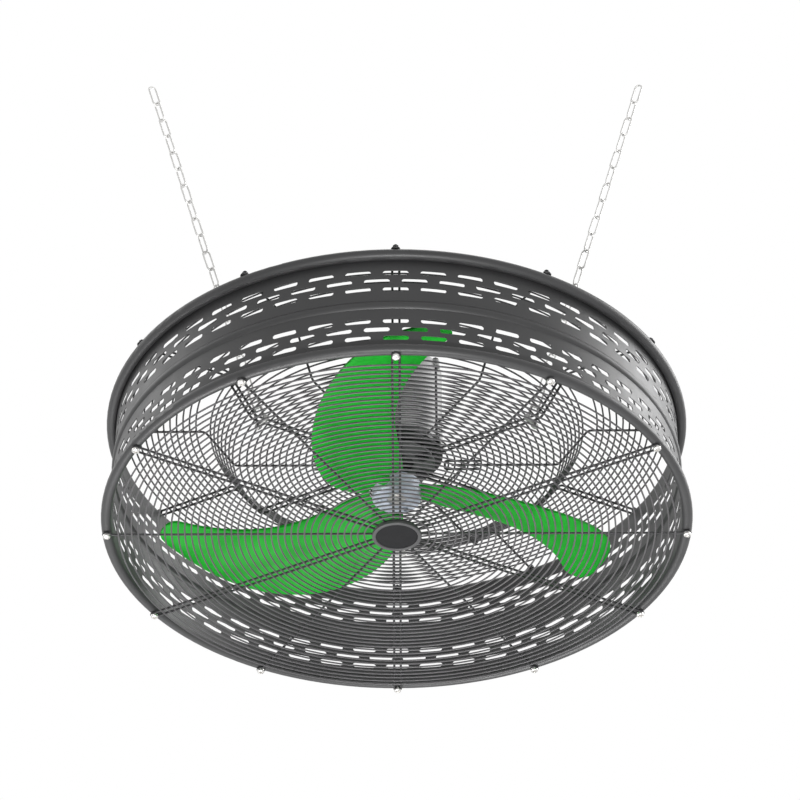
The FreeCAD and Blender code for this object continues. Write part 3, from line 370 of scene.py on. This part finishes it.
def painted(piece, material):
    """Puts the material in every slot of a piece or CAD node."""
    if not piece.material_slots:
        piece.data.materials.append(material)
    for held in piece.material_slots:
        held.material = material


def paint_nodes(material, *nodes):
    for node in nodes:
        painted(NODES[node], material)


def seat(piece, name, body, material):
    """Names a finished piece, applies its place and lets it ride on its body."""
    only(piece)
    bpy.ops.object.transform_apply(location=True, rotation=True, scale=True)
    piece.name = name
    piece.data.name = name
    painted(piece, material)
    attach(piece, body)


def copied(piece, matrix):
    twin = piece.copy()
    twin.data = piece.data.copy()
    twin.matrix_world = matrix
    bpy.context.scene.collection.objects.link(twin)
    return twin


def joined(pieces):
    deselect()
    for piece in pieces:
        piece.select_set(True)
    bpy.context.view_layer.objects.active = pieces[0]
    bpy.ops.object.join()
    return pieces[0]


def merged_copy(node):
    """A copy of a CAD node with its loose triangles welded, ready to shape."""
    piece = copied(NODES[node], Matrix.Identity(4))
    piece.parent = None
    for key in list(piece.keys()):
        del piece[key]
    only(piece)
    bpy.ops.object.mode_set(mode="EDIT")
    bpy.ops.mesh.select_all(action="SELECT")
    bpy.ops.mesh.remove_doubles(threshold=MERGE_LIMIT)
    bpy.ops.mesh.customdata_custom_splitnormals_clear()
    bpy.ops.object.mode_set(mode="OBJECT")
    return piece


def softened(node, name, edge, material, segments=2):
    """A CAD node's shape with its sharp edges rounded; it stands for the node."""
    piece = merged_copy(node)
    bpy.ops.object.mode_set(mode="EDIT")
    bpy.ops.mesh.select_all(action="SELECT")
    bpy.ops.mesh.dissolve_limited(angle_limit=FLAT_ANGLE)
    bpy.ops.object.mode_set(mode="OBJECT")
    bevel = piece.modifiers.new("edges", "BEVEL")
    bevel.width = edge
    bevel.segments = segments
    bevel.limit_method = "ANGLE"
    bevel.angle_limit = SHARP_ANGLE
    bpy.ops.object.modifier_apply(modifier=bevel.name)
    bpy.ops.object.shade_smooth_by_angle(angle=SHARP_ANGLE)
    seat(piece, name, BODY_OF[node], material)
    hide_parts(node)


# Guards
def circles(nodes):
    """The radius and height of each ring in some nodes of rings, in order of radius."""
    spots = sorted((math.hypot(v.co.x, v.co.y), v.co.z) for node in nodes for v in NODES[node].data.vertices)
    groups = [[spots[0]]]
    for before, spot in zip(spots, spots[1:]):
        if spot[0] - before[0] > RING_RADIUS:
            groups.append([])
        groups[-1].append(spot)
    found = []
    for group in groups:
        heights = [z for r, z in group]
        found.append(((group[0][0] + group[-1][0]) / 2, (min(heights) + max(heights)) / 2))
    return found


def crossings(ring_radius, angles, offset):
    """Where a circle meets straight spokes that run beside the radial lines."""
    along = math.sqrt(ring_radius ** 2 - offset ** 2)
    for angle in angles:
        out = Vector((math.cos(angle), math.sin(angle), 0.0))
        side = Vector((-math.sin(angle), math.cos(angle), 0.0))
        yield out * along + side * offset


def weld_dabs(name, spots, radius, material):
    """One flattened bead of weld at each crossing of a ring and a spoke."""
    deselect()
    bpy.ops.mesh.primitive_ico_sphere_add(subdivisions=1, radius=radius)
    dab = bpy.context.object
    bpy.ops.object.mode_set(mode="EDIT")
    bpy.ops.mesh.select_all(action="SELECT")
    bpy.ops.transform.resize(value=DAB_SHAPE)
    bpy.ops.object.mode_set(mode="OBJECT")
    bpy.ops.object.shade_smooth()
    copies = [copied(dab, Matrix.Translation(spot)) for spot in spots]
    bpy.data.objects.remove(dab)
    seat(joined(copies), name, "frame", material)


def guard_spots(nodes, side, inner_single):
    """The weld places of one guard's rings; side is +1 where the spokes lie over the rings."""
    rings = circles(nodes)
    spots = []
    for k, (radius, height) in enumerate(rings):
        outer = rings[min(k + 1, len(rings) - 1)]
        inner = rings[max(k - 1, 0)]
        slope = math.atan2(outer[1] - inner[1], outer[0] - inner[0])
        step = RING_RADIUS * side
        at = radius - step * math.sin(slope)
        lift = Vector((0.0, 0.0, height + step * math.cos(slope)))
        runs = [(HAIRPIN_ANGLES, HAIRPIN_HALF), (HAIRPIN_ANGLES, -HAIRPIN_HALF)]
        if radius > inner_single:
            runs.append((SINGLE_ANGLES, 0.0))
        for angles, offset in runs:
            spots += [place + lift for place in crossings(at, angles, offset)]
    return spots


# Operators
class DRUMFAN_OT_drum(bpy.types.Operator):
    """Powder-coats the slotted drum"""

    bl_idname = "drum_fan.drum"
    bl_label = "Drum"

    def execute(self, context):
        finish = context.scene.drum_fan_finish
        paint_nodes(coat("drum powder coat", finish.drum, 0.46, 900.0, 0.10, gloss=0.50), "drum_shell")
        return {"FINISHED"}


class DRUMFAN_OT_guards(bpy.types.Operator):
    """Coats the guard wires and adds the welds at their crossings"""

    bl_idname = "drum_fan.guards"
    bl_label = "Guards"

    def execute(self, context):
        finish = context.scene.drum_fan_finish
        sizes = context.scene.drum_fan_sizes
        rings = coat("front ring dip coat", finish.ring, 0.42, 1100.0, 0.12)
        rear = coat("rear ring dip coat", finish.rear, 0.44, 1100.0, 0.12)
        # Painted shade: the spokes, lugs and rear welds get a darker copy of the rings' dip coat.
        spokes = coat("spoke dip coat with painted shade", finish.spoke, 0.46, 1100.0, 0.12)
        paint_nodes(rings, *FRONT_RINGS)
        paint_nodes(rear, *REAR_RINGS)
        paint_nodes(spokes, "front_guard_hairpins", "front_guard_singles", "rear_guard_hairpins",
                    "rear_guard_singles", "rear_guard_lugs")
        weld_dabs("front_guard_welds", guard_spots(FRONT_RINGS, 1.0, 0.0), sizes.dab, rings)
        weld_dabs("rear_guard_welds", guard_spots(REAR_RINGS, -1.0, REAR_SINGLE_INNER), sizes.dab, spokes)
        return {"FINISHED"}


class DRUMFAN_OT_cap(bpy.types.Operator):
    """Finishes the cap in the middle of the front guard"""

    bl_idname = "drum_fan.cap"
    bl_label = "Front cap"

    def execute(self, context):
        finish = context.scene.drum_fan_finish
        sizes = context.scene.drum_fan_sizes
        paint_nodes(grained("cap grain", finish.cap), "cap_disc")
        paint_nodes(coat("cap ring coat", finish.trim, 0.40, 800.0, 0.06), "cap_ring")
        carrier = coat("carrier coat", finish.carrier, 0.5, 900.0, 0.12)
        paint_nodes(carrier, "cap_back_plate")
        softened("motor_plate", "rounded_motor_plate", sizes.chamfer, carrier)
        return {"FINISHED"}


class DRUMFAN_OT_motor(bpy.types.Operator):
    """Finishes the motor, its bearings and its terminal box"""

    bl_idname = "drum_fan.motor"
    bl_label = "Motor"

    def execute(self, context):
        finish = context.scene.drum_fan_finish
        sizes = context.scene.drum_fan_sizes
        paint_nodes(coat("motor enamel", finish.motor, 0.40, 500.0, 0.05, gloss=0.20), "motor_housing")
        # Painted shade: the front casting gets a near-black copy of the rear casting's enamel.
        front = coat("front casting enamel with painted shade", finish.front_shield, 0.40, 420.0, 0.25)
        rear = coat("rear casting enamel", finish.rear_shield, 0.40, 420.0, 0.25)
        paint_nodes(front, "motor_front_shield")
        paint_nodes(rear, "motor_rear_shield")
        softened("tie_rods", "chamfered_tie_rods", sizes.chamfer, black_oxide("tie rod black", finish.black))
        paint_nodes(rubber("isolator rubber"), "isolators")
        paint_nodes(laminated("laminations", finish.core), "stator_core", "rotor_core")
        paint_nodes(wound_copper("winding copper"), "stator_windings")
        paint_nodes(ground_steel("bearing steel"), "front_bearing_outer", "rear_bearing_outer",
                    "front_bearing_inner", "rear_bearing_inner", "front_bearing_balls", "rear_bearing_balls")
        box = grained("terminal box plastic", finish.box)
        softened("terminal_box", "rounded_terminal_box", sizes.chamfer, box)
        softened("terminal_lid", "rounded_terminal_lid", sizes.chamfer, box)
        paint_nodes(grained("gland plastic", finish.gland), "cable_gland")
        paint_nodes(grained("terminal block plastic", finish.block), "terminal_block")
        return {"FINISHED"}


class DRUMFAN_OT_hub(bpy.types.Operator):
    """Finishes the hub and the shaft"""

    bl_idname = "drum_fan.hub"
    bl_label = "Hub"

    def execute(self, context):
        finish = context.scene.drum_fan_finish
        paint_nodes(turned_alloy("hub alloy", finish.hub), "hub_rear", "hub_front", "hub_bolts")
        paint_nodes(ground_steel("shaft steel"), "shaft", "shaft_key")
        return {"FINISHED"}


class DRUMFAN_OT_blades(bpy.types.Operator):
    """Rounds the blades' edges and gives them their moulded green"""

    bl_idname = "drum_fan.blades"
    bl_label = "Blades"

    def execute(self, context):
        finish = context.scene.drum_fan_finish
        sizes = context.scene.drum_fan_sizes
        material = moulded_blade("blade green", finish.blade)
        for k in (1, 2, 3):
            softened("blade_%d" % k, "moulded_blade_%d" % k, sizes.blade_edge, material, segments=3)
        return {"FINISHED"}


class DRUMFAN_OT_hardware(bpy.types.Operator):
    """Finishes the screws, nuts and washers"""

    bl_idname = "drum_fan.hardware"
    bl_label = "Hardware"

    def execute(self, context):
        finish = context.scene.drum_fan_finish
        sizes = context.scene.drum_fan_sizes
        paint_nodes(plated("screw zinc", finish.zinc, 0.30), "front_screws", "cap_screws", "lid_screws",
                    "hub_washer", "shaft_bolt")
        black = black_oxide("stud black", finish.black)
        for node in ("rear_studs", "mount_screws"):
            softened(node, "chamfered_" + node, sizes.chamfer, black)
        return {"FINISHED"}


class DRUMFAN_OT_chains(bpy.types.Operator):
    """Finishes the chains and their shackles"""

    bl_idname = "drum_fan.chains"
    bl_label = "Chains"

    def execute(self, context):
        finish = context.scene.drum_fan_finish
        zinc = plated("chain zinc", finish.chain, 0.52)
        dull = plated("shackle zinc", scaled(finish.chain, 0.65), 0.48)
        for side in ("left", "right", "rear"):
            paint_nodes(zinc, "chain_" + side, "top_link_" + side)
            paint_nodes(dull, "shackle_" + side, "shackle_pin_" + side)
        return {"FINISHED"}


class DRUMFAN_OT_stage(bpy.types.Operator):
    """Sets the camera, the floor, the sky and the lamps"""

    bl_idname = "drum_fan.stage"
    bl_label = "Stage"

    def execute(self, context):
        stage = context.scene.drum_fan_stage
        context.scene.view_settings.view_transform = "Standard"
        self.camera(context, stage)
        self.floor(stage)
        self.sky(context)
        middle = (Vector(CAD_BOX[0]) + Vector(CAD_BOX[1])) / 2
        for name, (place, size, power) in LAMPS.items():
            self.lamp(name, place, middle, size, power)
        return {"FINISHED"}

    def camera(self, context, stage):
        deselect()
        turn = Matrix.Rotation(math.pi / 2 + stage.view_up, 3, "X") @ Matrix.Rotation(stage.view_roll, 3, "Z")
        bpy.ops.object.camera_add(location=stage.view_from, rotation=turn.to_euler())
        camera = context.object
        camera.data.angle = stage.view_field
        camera.data.clip_end = VIEW_DEPTH
        context.scene.camera = camera

    def floor(self, stage):
        deselect()
        bpy.ops.mesh.primitive_plane_add(size=FLOOR_SIZE, location=(0.0, 0.0, -stage.floor_depth))
        ground = bpy.context.object
        bpy.ops.object.transform_apply(location=True)
        ground.name = "floor"
        p = Paint("pale floor")
        tone = p.mix(p.noise(0.6, 3.0), (0.80, 0.80, 0.80), (0.84, 0.84, 0.84))
        glow = p.mix(p.seen(), (0.0, 0.0, 0.0), FLOOR_GLOW)
        painted(ground, p.done(base_color=tone, roughness=0.9, emission_color=glow, emission_strength=1.0))

    def sky(self, context):
        world = bpy.data.worlds.new("white room")
        context.scene.world = world
        world.use_nodes = True
        tree = world.node_tree
        tree.nodes.clear()
        path = add_node(tree, "ShaderNodeLightPath")
        direct = add_node(tree, "ShaderNodeMath", {"operation": "MAXIMUM"},
                          {0: path.outputs["Is Camera Ray"], 1: path.outputs["Is Transmission Ray"]})
        seen = add_node(tree, "ShaderNodeMath", {"operation": "MAXIMUM"},
                        {0: direct.outputs[0], 1: path.outputs["Is Glossy Ray"]})
        white = add_node(tree, "ShaderNodeBackground", None, {"Color": WHITE})
        place = add_node(tree, "ShaderNodeTexCoord")
        facing = add_node(tree, "ShaderNodeVectorMath", {"operation": "DOT_PRODUCT"},
                          {0: place.outputs["Generated"], 1: ROOM_FACING})
        light = add_node(tree, "ShaderNodeMapRange", None,
                         {"Value": facing.outputs["Value"], "From Min": -ROOM_SPAN, "From Max": ROOM_SPAN,
                          "To Min": ROOM_DARKEST, "To Max": ROOM_LIGHTEST})
        room = add_node(tree, "ShaderNodeBackground", None,
                        {"Color": WHITE, "Strength": light.outputs["Result"]})
        both = add_node(tree, "ShaderNodeMixShader", None,
                        {0: seen.outputs[0], 1: room.outputs[0], 2: white.outputs[0]})
        add_node(tree, "ShaderNodeOutputWorld", None, {"Surface": both.outputs[0]})

    def lamp(self, name, place, target, size, power):
        deselect()
        bpy.ops.object.light_add(type="AREA", location=place)
        lamp = bpy.context.object
        lamp.name = name
        lamp.data.size = size
        lamp.data.energy = power
        lamp.rotation_euler = (Vector(place) - target).to_track_quat("Z", "Y").to_euler()
        lamp.visible_camera = False


class DRUMFAN_PT_panel(bpy.types.Panel):
    """The fan's operators and values"""

    bl_idname = "DRUMFAN_PT_panel"
    bl_label = "Drum fan"
    bl_space_type = "VIEW_3D"
    bl_region_type = "UI"
    bl_category = "Drum fan"

    def draw(self, context):
        for values in ("drum_fan_finish", "drum_fan_sizes", "drum_fan_stage"):
            group = getattr(context.scene, values)
            for key in group.__annotations__:
                self.layout.prop(group, key)
        for operator in OPERATORS:
            self.layout.operator(operator.bl_idname)


OPERATORS = (DRUMFAN_OT_stage, DRUMFAN_OT_drum, DRUMFAN_OT_guards, DRUMFAN_OT_cap, DRUMFAN_OT_motor,
             DRUMFAN_OT_hub, DRUMFAN_OT_blades, DRUMFAN_OT_hardware, DRUMFAN_OT_chains)
GROUPS = {"drum_fan_finish": DrumFanFinish, "drum_fan_sizes": DrumFanSizes, "drum_fan_stage": DrumFanStage}
CLASSES = (*GROUPS.values(), *OPERATORS, DRUMFAN_PT_panel)


def register():
    for held in CLASSES:
        bpy.utils.register_class(held)
    for name, group in GROUPS.items():
        setattr(bpy.types.Scene, name, PointerProperty(type=group))


def unregister():
    for name in GROUPS:
        delattr(bpy.types.Scene, name)
    for held in reversed(CLASSES):
        bpy.utils.unregister_class(held)


def main():
    register()
    for operator in OPERATORS:
        space, call = operator.bl_idname.split(".")
        getattr(getattr(bpy.ops, space), call)()


if __name__ == "__main__":
    main()
